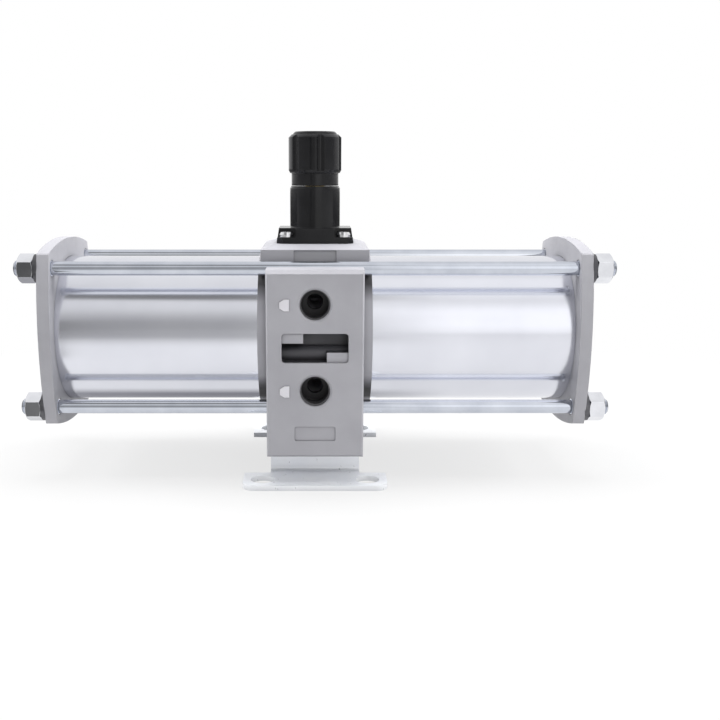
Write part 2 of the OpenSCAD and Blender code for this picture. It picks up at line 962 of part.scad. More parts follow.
module governor_seat() {
  color([0.75, 0.68, 0.40])
    z_ring(governor_seat_low, governor_seat_low + governor_seat_length, governor_r, valve_stem_r + valve_gap);
}

module governor_spring() {
  color([0.70, 0.71, 0.73])
    translate([0, 0, governor_floor])
      coil(governor_seat_low - valve_length - governor_floor, governor_spring_r, 2, governor_wire);
}

// Pistons and rod

module piston_rod() {
  color([0.84, 0.85, 0.87]) {
    x_bar(-piston_in, piston_in, rod_r);
    both_ends()
      x_bar(piston_in - cut, piston_out - piston_recess + piston_nut_height, stub_r);
  }
}

module piston() {
  difference() {
    x_bar(piston_in, piston_out, bore_r - piston_gap);
    x_bar(piston_in - cut, piston_out + cut, stub_r + seat_gap);
    x_bar(piston_out - piston_recess, piston_out + cut, piston_recess_r);
    x_ring(piston_in + ring_inset, piston_in + ring_inset + ring_groove, bore_r + cut, bore_r - ring_depth);
    x_ring(piston_out - ring_inset - ring_groove, piston_out - ring_inset, bore_r + cut, bore_r - ring_depth);
  }
}

module left_piston() {
  color([0.66, 0.67, 0.69])
    mirror([1, 0, 0])
      piston();
}

module right_piston() {
  color([0.66, 0.67, 0.69])
    piston();
}

module piston_nuts() {
  color([0.62, 0.63, 0.66])
    both_ends()
      translate([piston_out - piston_recess, 0, axis_height])
        rotate([0, 90, 0])
          hex_nut(piston_nut_flats, piston_nut_height, stub_r + seat_gap);
}

module piston_seals() {
  color([0.10, 0.10, 0.11])
    both_ends()
      x_ring(piston_in + ring_inset + ring_play, piston_in + ring_inset + ring_groove - ring_play,
        bore_r - slide_gap, bore_r - ring_depth + seat_gap);
}

module wear_rings() {
  color([0.42, 0.36, 0.28])
    both_ends()
      x_ring(piston_out - ring_inset - ring_groove + ring_play, piston_out - ring_inset - ring_play,
        bore_r - slide_gap, bore_r - ring_depth + seat_gap);
}

module bumpers() {
  color([0.12, 0.12, 0.13])
    both_ends()
      x_ring(cover_in - bumper_thickness, cover_in, bumper_r, bumper_hole_r);
}

module rod_bushing() {
  color([0.72, 0.58, 0.32])
    x_ring(-bush_half, bush_half, bush_r, rod_r + slide_gap);
}

module rod_seals() {
  color([0.10, 0.10, 0.11])
    both_ends()
      x_ring(bush_half, bush_half + seal_length, seal_r, rod_r + slide_gap);
}

module seal_retainers() {
  color([0.66, 0.67, 0.69])
    both_ends()
      x_ring(bush_half + seal_length, body_half, seal_r, rod_r + retainer_gap);
}

// Switching valve

module spool_sleeve() {
  half = body_half - plug_length;
  color([0.74, 0.75, 0.77])
    difference() {
      x_ring(-half, half, sleeve_r, spool_r + slide_gap, spool_y);
      for (x = [-sleeve_port_x, 0, sleeve_port_x])
        z_bar(axis_height - sleeve_r - cut, axis_height + sleeve_r + cut, sleeve_port_r, x, spool_y);
    }
}

module spool_plugs() {
  color([0.74, 0.75, 0.77])
    both_ends()
      x_ring(body_half - plug_length, body_half, sleeve_r, spool_pin_r + slide_gap, spool_y);
}

module switching_spool() {
  color([0.80, 0.81, 0.83]) {
    difference() {
      x_bar(-spool_half, spool_half, spool_r, spool_y);
      for (x = [-land_x, land_x])
        x_ring(x - land_half, x + land_half, spool_r + cut, land_core_r, spool_y);
    }
    both_ends()
      x_bar(spool_half - cut, body_half + pin_stand, spool_pin_r, spool_y);
  }
}

// Check valves

module inlet_poppet() {
  x_bar(check_floor, check_floor + poppet_length, check_r - poppet_gap, check_y, axis_height + port_high);
}

module outlet_poppet() {
  x_bar(check_seat_in - poppet_length, check_seat_in, check_r - poppet_gap, check_y, axis_height - port_low);
}

module left_inlet_valve() {
  color([0.75, 0.68, 0.40])
    mirror([1, 0, 0])
      inlet_poppet();
}

module right_inlet_valve() {
  color([0.75, 0.68, 0.40])
    inlet_poppet();
}

module left_outlet_valve() {
  color([0.75, 0.68, 0.40])
    mirror([1, 0, 0])
      outlet_poppet();
}

module right_outlet_valve() {
  color([0.75, 0.68, 0.40])
    outlet_poppet();
}

module check_seats() {
  color([0.66, 0.67, 0.69])
    both_ends()
      for (z = [port_high, -port_low])
        x_ring(check_seat_in, check_seat_in + check_seat_length, check_r - seat_gap, check_hole_r,
          check_y, axis_height + z);
}

module check_springs() {
  length = check_seat_in - check_floor - poppet_length;
  color([0.70, 0.71, 0.73])
    both_ends() {
      translate([check_floor + poppet_length, check_y, axis_height + port_high])
        rotate([0, 90, 0])
          coil(length, check_spring_r, 3, check_wire);
      translate([check_floor, check_y, axis_height - port_low])
        rotate([0, 90, 0])
          coil(length, check_spring_r, 3, check_wire);
    }
}

body();
left_tube();
right_tube();
left_cover();
right_cover();
tube_gaskets();
tie_rods();
tie_rod_nuts();
spring_washers();
mounting_bracket();
bracket_screws();
bonnet();
bonnet_screws();
knob();
adjusting_screw();
spring_seat();
pressure_spring();
diaphragm();
diaphragm_plate();
governor_valve();
governor_seat();
governor_spring();
piston_rod();
left_piston();
right_piston();
piston_nuts();
piston_seals();
wear_rings();
bumpers();
rod_bushing();
rod_seals();
seal_retainers();
spool_sleeve();
spool_plugs();
switching_spool();
left_inlet_valve();
right_inlet_valve();
left_outlet_valve();
right_outlet_valve();
check_seats();
check_springs();
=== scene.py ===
import json
import math
from functools import partial

import bmesh
import bpy
from mathutils import Matrix, Vector


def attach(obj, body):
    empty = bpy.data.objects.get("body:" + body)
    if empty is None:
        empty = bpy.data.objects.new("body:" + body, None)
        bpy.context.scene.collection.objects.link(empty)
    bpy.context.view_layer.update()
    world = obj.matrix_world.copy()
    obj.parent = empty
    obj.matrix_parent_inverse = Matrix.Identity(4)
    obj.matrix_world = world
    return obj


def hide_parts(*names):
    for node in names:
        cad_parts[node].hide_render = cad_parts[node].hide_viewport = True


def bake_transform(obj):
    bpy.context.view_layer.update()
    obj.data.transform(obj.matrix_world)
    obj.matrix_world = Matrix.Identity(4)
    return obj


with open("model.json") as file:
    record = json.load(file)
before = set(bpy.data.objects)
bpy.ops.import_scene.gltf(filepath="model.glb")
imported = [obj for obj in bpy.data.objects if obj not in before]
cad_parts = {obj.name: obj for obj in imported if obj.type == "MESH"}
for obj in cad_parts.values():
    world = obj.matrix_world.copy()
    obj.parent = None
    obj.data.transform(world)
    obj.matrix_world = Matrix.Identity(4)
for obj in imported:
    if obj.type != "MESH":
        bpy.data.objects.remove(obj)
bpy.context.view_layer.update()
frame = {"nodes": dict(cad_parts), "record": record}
nodes = frame["nodes"]
scene = bpy.context.scene
scene.view_settings.view_transform = "Standard"

# Places shared with the solids, in metres
AXIS_Z = 0.073
FRONT_Y = -0.054
REAR_Y = 0.052
PORT_HIGH = AXIS_Z + 0.0195
PORT_LOW = AXIS_Z - 0.0235
PORT_R = 0.0075
PORT_DEPTH = 0.014
GAUGE_R = 0.0043
GAUGE_X = 0.014
WINDOW_Z = 0.0712
WINDOW_HALF = (0.0168, 0.0058, 0.0077)
TAB_DROP = 0.0012
TOP_PANEL = (0.0, -0.0283, 0.114)
TOP_PANEL_HALF = (0.0107, 0.0003, 0.0028)
BOSS_X, BOSS_HALF = 0.0267, 0.0026
ROD_PLACE = 0.0355
ROD_R = 0.004
ROD_END = 0.150
NUT_END = 0.1475
THREAD_FROM = 0.1315
BODY_TOP = 0.1195
PLATE_TOP = BODY_TOP + 0.002
SEAT_LOW = BODY_TOP + 0.0145
GOVERNOR_FLOOR = BODY_TOP - 0.017
GOVERNOR_LOW = BODY_TOP - 0.0115
DIAPHRAGM_R = 0.0175
DIAPHRAGM_LOW = BODY_TOP - 0.0012
CHECK_Y = -0.009
CHECK_IN, CHECK_OUT = 0.012, 0.024
POPPET = 0.004

# Threads in the ports: depth, pitch and start under the mouth, and how far each runs
PIPE_THREAD = {"depth": 0.0007, "pitch": 0.00134, "start": 0.002}
GAUGE_THREAD = {"depth": 0.0005, "pitch": 0.00091, "start": 0.002}
PORT_RUN, EXHAUST_RUN, GAUGE_RUN = 0.0085, 0.0060, 0.0050

# Threads on the rods: the ridge starts a little under the rod's surface and behind its end
ROD_PITCH = 0.00125
ROD_RIDGE = 0.0003
ROD_SINK = 0.0001
ROD_TIP_START = 0.0008

# Thread section in pitches: half its foot and half its crest; least share of its height where it runs out
THREAD_FOOT, THREAD_CREST = 0.46, 0.06
THREAD_LEAST = 0.05
THREAD_STEPS = 40

# Springs: middle radius, turns and wire radius; steps around the wire and around each turn
PRESSURE_COIL = (0.0072, 4, 0.0006)
GOVERNOR_COIL = (0.003, 3, 0.00045)
CHECK_COIL = (0.0034, 4, 0.0004)
COIL_SIDES, COIL_STEPS = 10, 28
END_TURNS_CLOSER = 0.6
CLEAR = 0.0001

# Diaphragm: slices, the hole in its middle, its low roll and the radii between which it bends
DIAPHRAGM_SLICES = 8
SLICE_ACROSS, SLICE_OUT = 4, 14
DIAPHRAGM_HOLE = 0.0002
ROLL_DROP, ROLL_R, ROLL_HALF = 0.0004, 0.0108, 0.0014

# Special places on the casting: painted shade in the window, in the ports and on the boss corners by the rods,
# the top panel's grey and the pale flow marks; their colours and how far behind the front they start
WINDOW_PAINTED_SHADE, BEHIND_TABS = (0.070, 0.069, 0.078), 0.0004
MOUTH_PAINTED_SHADE, MOUTH_FROM = (0.12, 0.118, 0.126), 0.0011
INSIDE_PAINTED_SHADE, INSIDE_FROM = (0.026, 0.025, 0.028), 0.0040
PORT_MARGIN = 0.0009
PANEL_GREY = (0.325, 0.324, 0.345)
FLOW_MARK, MARK_RISE = (0.64, 0.63, 0.67), 0.0002
CORNER_PAINTED_SHADE = (0.035, 0.034, 0.037)
SHADE_CORNER_LEVELS = ((0.019, 0.027), (0.0345, 0.0325))

# Tie rods: colours, the distance from the part's axis where the painted highlight on the inner side starts and
# is full, and how much weaker it is on the rear rods
ROD_DULL = ((0.54, 0.57, 0.64), (0.64, 0.67, 0.74))
ROD_ROUGH = (0.06, 0.10)
ROD_CLOUD, ROD_FINE = 80.0, 500.0
ROD_PAINTED_HIGHLIGHT = (0.92, 0.94, 0.98)
ROD_HIGHLIGHT_SIDE = (0.0502, 0.0482)
ROD_HIGHLIGHT_REAR_LESS = (0.0, 0.01, 1.0, 0.4)
ROD_BUMP = (0.8, 0.0004)

# Painted shade on the bracket's rear foot and where it starts, and the shine of the plastic
ZINC_REAR_SHADE, ZINC_REAR_SHADE_FROM = (0.83, 0.85, 0.885), (-0.01, 0.01)
PLASTIC_SHINE = 0.34

# Painted shade in corners: reach and darkest share
CAST_CORNER_SHADE = (0.005, 0.50)
ZINC_CORNER_SHADE = (0.006, 0.55)

# Materials that need no places of their own
PLAIN_SURFACES = {
    "nut_steel": {"low": (0.76, 0.77, 0.81), "high": (0.86, 0.87, 0.91), "rough": (0.03, 0.06),
                  "metal": 1.0, "cloud": 160.0, "grain": 1500.0, "grain_strength": 0.06},
    "washer_steel": {"low": (0.10, 0.10, 0.11), "high": (0.17, 0.17, 0.18), "rough": (0.30, 0.45),
                     "metal": 1.0, "cloud": 220.0, "edge": 0.0002},
    "bright_screw": {"low": (0.78, 0.78, 0.80), "high": (0.88, 0.88, 0.90), "rough": (0.12, 0.22),
                     "metal": 1.0, "cloud": 250.0, "edge": 0.0002},
    "inner_steel": {"low": (0.48, 0.49, 0.51), "high": (0.60, 0.61, 0.63), "rough": (0.24, 0.36),
                    "metal": 1.0, "cloud": 140.0, "edge": 0.0},
    "rod_steel": {"low": (0.76, 0.77, 0.79), "high": (0.84, 0.85, 0.87), "rough": (0.06, 0.12),
                  "metal": 1.0, "cloud": 60.0, "edge": 0.0},
    "brass_part": {"low": (0.58, 0.45, 0.20), "high": (0.70, 0.56, 0.27), "rough": (0.22, 0.34),
                   "metal": 1.0, "cloud": 180.0, "edge": 0.0},
    "bronze_part": {"low": (0.46, 0.30, 0.13), "high": (0.58, 0.40, 0.19), "rough": (0.30, 0.45),
                    "metal": 1.0, "cloud": 180.0, "edge": 0.0},
    "rubber_black": {"low": (0.012, 0.012, 0.013), "high": (0.022, 0.022, 0.023),
                     "rough": (0.55, 0.70), "cloud": 150.0, "edge": 0.0},
    "wear_plastic": {"low": (0.17, 0.12, 0.07), "high": (0.23, 0.17, 0.11), "rough": (0.45, 0.60),
                     "cloud": 150.0, "edge": 0.0},
    "piston_metal": {"low": (0.56, 0.57, 0.59), "high": (0.66, 0.67, 0.69), "rough": (0.22, 0.34),
                     "metal": 1.0, "cloud": 90.0, "edge": 0.0},
    "tube_metal": {"low": (0.735, 0.746, 0.81), "high": (0.80, 0.811, 0.872), "rough": (0.13, 0.18),
                   "metal": 1.0, "cloud": 25.0, "grain": 900.0, "grain_depth": 0.000004,
                   "grain_strength": 0.10, "edge": 0.0, "stretch": (0.06, 1.0, 1.0)},
}

# World: greys by height from straight down (0) to straight up (1), left and right of the camera, and
# where the right side's light, a dark card on the left and the plain back start and end
LEFT_BANDS = [(0.50, 0.50), (0.56, 0.42), (0.65, 0.42), (0.72, 0.56), (0.80, 0.78), (0.86, 0.84),
              (0.885, 0.84), (0.900, 0.20), (0.950, 0.20), (0.970, 0.86), (1.0, 0.88)]
RIGHT_BANDS = [(0.50, 1.12), (0.60, 1.28), (0.78, 1.24), (0.88, 0.95), (0.94, 1.10), (1.0, 1.06)]
LIT_EDGES = ((-0.04, 0.13), (0.62, 0.42))
CARD_GREY, CARD_EDGES, CARD_TOP = 0.02, ((-0.270, -0.282), (-0.38, -0.34)), (0.34, 0.28)
BACK_GREY, BACK_FROM = 0.92, (0.0, 0.12)
WHITE = 1.0

# Floor: its own look, the shadow that the camera sees on it, and what mirrors see of it, which holds a painted
# shadow under the part's left side
FLOOR_HALF = 6.0
FLOOR_GREY = 0.46
FLOOR_ROUGH = 0.9
SHADOW_SHAPE = (3.2, 4.5, 0.0)
SHADOW_FADE = (0.7, 1.6, 0.70, 1.0)
MIRRORED_SHARE = 0.86
FLOOR_BANDS = [(0.0, 0.97), (0.5, 0.66), (1.0, 0.46)]
BANDS_LEFT, BANDS_FAR = (0.12, -0.04), (-0.20, -0.60)
STRIP_GREY, STRIP_SLANT = 0.02, -0.286
STRIP_EDGES, STRIP_FROM = ((-0.118, -0.126), (-0.215, -0.195)), (-0.10, -0.13)
BEHIND_GREY, BEHIND_ASIDE, BEHIND_FROM = 0.04, (0.22, 0.30), (0.04, 0.10)
UNDER_PAINTED_SHADOW = (0.28, 0.28, 0.30)
UNDER_SHADOW_EDGES, UNDER_SHADOW_LEFT = ((-0.014, 0.006), (0.075, 0.055)), (0.08, 0.0)

# Lamps: name, place, size and power, all turned to the same point
LAMP_TARGET = (0.0, 0.0, 0.08)
LAMPS = (("front", (0.30, -0.95, 0.60), (0.8, 0.5), 2.2),
         ("left", (-1.05, 0.10, 0.50), (0.6, 0.6), 17.0),
         ("right", (1.05, 0.10, 0.50), (0.6, 0.6), 17.0),
         ("top", (0.0, 0.12, 1.10), (0.9, 0.5), 10.0))

CAMERA_PLACE = (0.0, -0.510, 0.1575)
CAMERA_DOWN = 11.4
CAMERA_LENS = 47.5
CAMERA_SENSOR = 36.0
CAMERA_SHIFT = 0.0625


# Shader nodes

def new_material(name):
    """A material with a principled shader, its node tree and that shader."""
    mat = bpy.data.materials.new(name)
    mat.use_nodes = True
    tree = mat.node_tree
    return mat, tree, tree.nodes["Principled BSDF"]


def put(tree, kind, **values):
    """A node with its named inputs or properties set."""
    node = tree.nodes.new(kind)
    for key, value in values.items():
        if key in node.inputs:
            node.inputs[key].default_value = value
        else:
            setattr(node, key, value)
    return node


def feed(tree, socket, value):
    """Link a socket to an output, or set it to a number or a colour."""
    if isinstance(value, bpy.types.NodeSocket):
        tree.links.new(value, socket)
    else:
        socket.default_value = value


def rgba(colour):
    """A grey or a colour, with full alpha."""
    rgb = (colour,) * 3 if isinstance(colour, (int, float)) else tuple(colour)
    return rgb + (1.0,)


def object_coords(tree, scale=(1.0, 1.0, 1.0)):
    """Object coordinates in metres, stretched by scale."""
    coords = put(tree, "ShaderNodeTexCoord")
    mapping = put(tree, "ShaderNodeMapping", Scale=scale)
    tree.links.new(coords.outputs["Object"], mapping.inputs["Vector"])
    return mapping.outputs["Vector"]


def split_place(tree):
    """The place on the part, as separate X, Y and Z in metres."""
    place = put(tree, "ShaderNodeSeparateXYZ")
    tree.links.new(object_coords(tree), place.inputs["Vector"])
    return place.outputs


def noise(tree, vector, scale, detail=4.0, rough=0.55):
    """Smooth noise between 0 and 1."""
    node = put(tree, "ShaderNodeTexNoise", Scale=scale, Detail=detail, Roughness=rough)
    tree.links.new(vector, node.inputs["Vector"])
    return node.outputs["Fac"]


def ramp(tree, value, stops):
    """A colour ramp; stops are (position, grey or colour)."""
    node = tree.nodes.new("ShaderNodeValToRGB")
    elements = node.color_ramp.elements
    while len(elements) < len(stops):
        elements.new(0.5)
    for element, (place, colour) in zip(elements, stops):
        element.position = place
        element.color = rgba(colour)
    tree.links.new(value, node.inputs["Fac"])
    return node.outputs["Color"]


def math_node(tree, operation, *values):
    """A math node; each value is a number or a socket."""
    node = put(tree, "ShaderNodeMath", operation=operation)
    for socket, value in zip(node.inputs, values):
        feed(tree, socket, value)
    return node.outputs[0]


def product(tree, first, *others):
    """All values multiplied."""
    for other in others:
        first = math_node(tree, "MULTIPLY", first, other)
    return first


def map_range(tree, value, low, high, to_low=0.0, to_high=1.0):
    """The value carried from low..high to to_low..to_high, and held at the ends."""
    node = put(tree, "ShaderNodeMapRange")
    for key, number in (("From Min", low), ("From Max", high), ("To Min", to_low), ("To Max", to_high)):
        node.inputs[key].default_value = number
    tree.links.new(value, node.inputs["Value"])
    return node.outputs["Result"]


def between(tree, value, rise, fall):
    """1 between two soft edges, 0 outside them."""
    return product(tree, map_range(tree, value, *rise), map_range(tree, value, *fall))


def box_mask(tree, place, middle, half):
    """1 inside a box, 0 outside it."""
    near = [math_node(tree, "COMPARE", place[axis], m, h) for axis, m, h in zip("XYZ", middle, half)]
    return product(tree, *near)


def mix_colour(tree, factor, first, second, blend="MIX"):
    """Two colours mixed by factor; each is a socket, a grey or a colour."""
    mix = put(tree, "ShaderNodeMix", data_type="RGBA", blend_type=blend)
    feed(tree, mix.inputs["Factor"], factor)
    for key, colour in (("A", first), ("B", second)):
        is_socket = isinstance(colour, bpy.types.NodeSocket)
        feed(tree, mix.inputs[key], colour if is_socket else rgba(colour))
    return mix.outputs["Result"]


def shaded(tree, colour, reach, darkest):
    """The colour, darker in corners that little light reaches."""
    hidden = put(tree, "ShaderNodeAmbientOcclusion", Distance=reach, samples=8)
    depth = ramp(tree, hidden.outputs["AO"], [(0.25, darkest), (0.85, 1.0)])
    return mix_colour(tree, 1.0, colour, depth, blend="MULTIPLY")


def bump(tree, shader, height, strength, distance, before=None):
    """A bump on the shader's normal, over another normal if there is one before it."""
    node = put(tree, "ShaderNodeBump", Strength=strength, Distance=distance)
    tree.links.new(height, node.inputs["Height"])
    if before is not None:
        tree.links.new(before, node.inputs["Normal"])
    tree.links.new(node.outputs["Normal"], shader.inputs["Normal"])


def soft_edges(tree, radius):
    """Rounded shading on sharp edges."""
    return put(tree, "ShaderNodeBevel", Radius=radius, samples=6).outputs["Normal"]


# Materials

def surface(name, low, high, rough, metal=0.0, cloud=60.0, grain=2500.0, grain_depth=0.00002,
            grain_strength=0.25, edge=0.0003, stretch=(1.0, 1.0, 1.0)):
    """Colour clouds between low and high, roughness clouds, a fine grain and softened edges."""
    mat, tree, shader = new_material(name)
    shader.inputs["Metallic"].default_value = metal
    plain = object_coords(tree)
    fine = object_coords(tree, stretch)
    colours = ramp(tree, noise(tree, plain, cloud), [(0.3, low), (0.7, high)])
    tree.links.new(colours, shader.inputs["Base Color"])
    shine = ramp(tree, noise(tree, fine, cloud * 6.0), [(0.25, rough[0]), (0.75, rough[1])])
    tree.links.new(shine, shader.inputs["Roughness"])
    edges = soft_edges(tree, edge) if edge else None
    bump(tree, shader, noise(tree, fine, grain, detail=3.0), grain_strength, grain_depth, edges)
    return mat, tree, shader


def base_colour(shader):
    """What feeds the shader's base colour."""
    return shader.inputs["Base Color"].links[0].from_socket


def cast_paint():
    """Grey paint.

    The window, the ports and the boss corners by the rods are darkened with painted shade, as are all corners,
    the top panel is a little darker, and the flow marks are pale.
    """
    mat, tree, shader = surface("cast_grey", low=(0.335, 0.333, 0.360), high=(0.375, 0.373, 0.402),
                                rough=(0.38, 0.52), metal=0.10, cloud=45.0, grain=1800.0,
                                grain_depth=0.00003, grain_strength=0.30, edge=0.0005)
    place = split_place(tree)
    # Painted shade: the window's inside is darkened where little light reaches it.
    window_y = FRONT_Y + TAB_DROP + BEHIND_TABS + WINDOW_HALF[1]
    window = box_mask(tree, place, (0.0, window_y, WINDOW_Z), WINDOW_HALF)
    colour = mix_colour(tree, window, base_colour(shader), WINDOW_PAINTED_SHADE)
    # Painted shade in the two front ports: lighter at the mouth, darker further in.
    half_depth = PORT_DEPTH / 2.0
    half_hole = (PORT_R + PORT_MARGIN, half_depth, PORT_R + PORT_MARGIN)
    for z in (PORT_HIGH, PORT_LOW):
        for start, dark in ((MOUTH_FROM, MOUTH_PAINTED_SHADE), (INSIDE_FROM, INSIDE_PAINTED_SHADE)):
            hole = box_mask(tree, place, (0.0, FRONT_Y + start + half_depth, z), half_hole)
            colour = mix_colour(tree, hole, colour, dark)
    colour = mix_colour(tree, box_mask(tree, place, TOP_PANEL, TOP_PANEL_HALF), colour, PANEL_GREY)
    raised = math_node(tree, "LESS_THAN", place["Y"], FRONT_Y - MARK_RISE)
    colour = mix_colour(tree, raised, colour, FLOW_MARK)
    # Painted shade on the bosses' corners above and below the axis, next to the rods.
    aside = math_node(tree, "ABSOLUTE", place["X"])
    level = math_node(tree, "ABSOLUTE", math_node(tree, "SUBTRACT", place["Z"], AXIS_Z))
    rod_corner_shade = product(tree, between(tree, level, *SHADE_CORNER_LEVELS),
                     math_node(tree, "COMPARE", aside, BOSS_X, BOSS_HALF))
    colour = mix_colour(tree, rod_corner_shade, colour, CORNER_PAINTED_SHADE)
    # Painted shade in all corners of the casting, from ambient occlusion.
    tree.links.new(shaded(tree, colour, *CAST_CORNER_SHADE), shader.inputs["Base Color"])
    return mat


def bright_rod():
    """Plated rod with a painted highlight on the side that faces the tube, and a rolled thread on both ends.
    """
    mat, tree, shader = new_material("tie_steel")
    shader.inputs["Metallic"].default_value = 1.0
    plain = object_coords(tree)
    place = split_place(tree)
    dull = ramp(tree, noise(tree, plain, ROD_CLOUD), [(0.3, ROD_DULL[0]), (0.7, ROD_DULL[1])])
    # Painted highlight: the side of each rod that faces the tube is made brighter, less so on the rear rods.
    level = math_node(tree, "SUBTRACT", place["Z"], AXIS_Z)
    square = math_node(tree, "MULTIPLY_ADD", place["Y"], place["Y"], product(tree, level, level))
    inner = product(tree, map_range(tree, math_node(tree, "SQRT", square), *ROD_HIGHLIGHT_SIDE),
                    map_range(tree, place["Y"], *ROD_HIGHLIGHT_REAR_LESS))
    tree.links.new(mix_colour(tree, inner, dull, ROD_PAINTED_HIGHLIGHT), shader.inputs["Base Color"])
    shine = ramp(tree, noise(tree, plain, ROD_FINE), [(0.3, ROD_ROUGH[0]), (0.7, ROD_ROUGH[1])])
    tree.links.new(shine, shader.inputs["Roughness"])
    along = math_node(tree, "ABSOLUTE", place["X"])
    wave = math_node(tree, "SINE", product(tree, along, 2.0 * math.pi / ROD_PITCH))
    threaded = math_node(tree, "GREATER_THAN", along, THREAD_FROM)
    bump(tree, shader, product(tree, wave, threaded), *ROD_BUMP)
    return mat


def zinc_plate():
    """Bright zinc plating, with painted shade in its folds and holes and on the rear foot."""
    mat, tree, shader = surface("bracket_zinc", low=(0.90, 0.92, 0.96), high=(0.95, 0.965, 0.99),
                                rough=(0.26, 0.38), metal=0.50, cloud=70.0, grain=1500.0,
                                grain_strength=0.05, edge=0.0)
    # Painted shade: the rear foot is made greyer than the front.
    rear = map_range(tree, split_place(tree)["Y"], *ZINC_REAR_SHADE_FROM)
    colour = mix_colour(tree, rear, base_colour(shader), ZINC_REAR_SHADE)
    # Painted shade in the bracket's folds and holes, from ambient occlusion.
    tree.links.new(shaded(tree, colour, *ZINC_CORNER_SHADE), shader.inputs["Base Color"])
    return mat


def black_plastic():
    """Smooth black plastic that shines a little less than usual."""
    mat, _, shader = surface("black_plastic", low=(0.004, 0.004, 0.005), high=(0.008, 0.008, 0.009),
                             rough=(0.11, 0.17), cloud=120.0, grain=3200.0, grain_strength=0.10, edge=0.0009)
    shader.inputs["Specular IOR Level"].default_value = PLASTIC_SHINE
    return mat


def build_materials():
    """One material for each slot of the record."""
    made = {name: surface(name, **look)[0] for name, look in PLAIN_SURFACES.items()}
    made["cast_grey"] = cast_paint()
    made["tie_steel"] = bright_rod()
    made["bracket_zinc"] = zinc_plate()
    made["black_plastic"] = black_plastic()
    return made


materials = build_materials()
slots = {part["node"]: part["material_slot"] for part in frame["record"]["subparts"]}
for node_name, slot_name in slots.items():
    nodes[node_name].data.materials.clear()
    nodes[node_name].data.materials.append(materials[slot_name])


# Pieces

def new_piece(name, mesh_maker, slot_name, matrix):
    """A new mesh piece in its place, with the material of a slot."""
    mesh = bpy.data.meshes.new(name)
    bm = bmesh.new()
    mesh_maker(bm)
    bmesh.ops.recalc_face_normals(bm, faces=bm.faces)
    bmesh.ops.transform(bm, matrix=matrix, verts=bm.verts)
    bm.to_mesh(mesh)
    bm.free()
    piece = bpy.data.objects.new(name, mesh)
    scene.collection.objects.link(piece)
    piece.data.materials.append(materials[slot_name])
    return piece


def place_piece(name, mesh_maker, slot_name, matrix):
    """A new mesh piece that rides on the fixed frame."""
    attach(new_piece(name, mesh_maker, slot_name, matrix), "frame")


def stretch_piece(name, mesh_maker, node, matrix):
    """A springy piece in the place of a node, smooth-shaded and baked into place; the node's own part is
    hidden.
    """
    piece = new_piece(name, mesh_maker, slots[node], matrix)
    for face in piece.data.polygons:
        face.use_smooth = True
    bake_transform(piece)
    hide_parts(node)


def join_rings(bm, rings):
    """Faces between closed rings of equal count, and a cap on both ends."""
    for a, b in zip(rings, rings[1:]):
        for k in range(len(a)):
            n = (k + 1) % len(a)
            bm.faces.new((a[k], a[n], b[n], b[k]))
    bm.faces.new(rings[0])
    bm.faces.new(list(reversed(rings[-1])))


def thread_rings(bm, wall_r, depth, pitch, length, start):
    """A helical thread standing in from a wall (out from it if depth is below 0), going down from z = 0."""
    count = int(length / pitch * THREAD_STEPS)
    rings = []
    for i in range(count + 1):
        angle = 2.0 * math.pi * i / THREAD_STEPS
        z = -start - pitch * i / THREAD_STEPS
        fade = max(THREAD_LEAST, min(1.0, i / THREAD_STEPS, (count - i) / THREAD_STEPS))
        crest_r = wall_r - depth * fade
        section = ((wall_r, THREAD_FOOT), (crest_r, THREAD_CREST),
                   (crest_r, -THREAD_CREST), (wall_r, -THREAD_FOOT))
        rings.append([bm.verts.new((r * math.cos(angle), r * math.sin(angle), z + dz * pitch))
                      for r, dz in section])
    join_rings(bm, rings)


def add_threads():
    """Threads in the two front ports, the three rear ports and on the eight rod ends."""
    out_front = Matrix.Rotation(math.radians(90.0), 4, "X")
    out_rear = Matrix.Rotation(math.radians(-90.0), 4, "X")
    wide = partial(thread_rings, wall_r=PORT_R, length=PORT_RUN, **PIPE_THREAD)
    short = partial(thread_rings, wall_r=PORT_R, length=EXHAUST_RUN, **PIPE_THREAD)
    small = partial(thread_rings, wall_r=GAUGE_R, length=GAUGE_RUN, **GAUGE_THREAD)
    for name, maker, place, out in (
            ("thread_inlet", wide, (0.0, FRONT_Y, PORT_HIGH), out_front),
            ("thread_outlet", wide, (0.0, FRONT_Y, PORT_LOW), out_front),
            ("thread_exhaust", short, (0.0, REAR_Y, PORT_LOW), out_rear),
            ("thread_gauge_inlet", small, (GAUGE_X, REAR_Y, PORT_HIGH), out_rear),
            ("thread_gauge_outlet", small, (-GAUGE_X, REAR_Y, PORT_HIGH), out_rear)):
        place_piece(name, maker, "cast_grey", Matrix.Translation(place) @ out)
    tip = ROD_END - NUT_END
    ridge = partial(thread_rings, wall_r=ROD_R - ROD_SINK, depth=-ROD_RIDGE, pitch=ROD_PITCH,
                    length=tip - ROD_TIP_START, start=ROD_TIP_START)
    for side, hand in ((-1.0, "left"), (1.0, "right")):
        out = Matrix.Rotation(math.radians(90.0 * side), 4, "Y")
        for y, face in ((-1.0, "front"), (1.0, "rear")):
            for z, height in ((-1.0, "low"), (1.0, "high")):
                spot = Matrix.Translation((side * ROD_END, y * ROD_PLACE, AXIS_Z + z * ROD_PLACE))
                place_piece("thread_rod_%s_%s_%s" % (hand, face, height), ridge, "tie_steel", spot @ out)


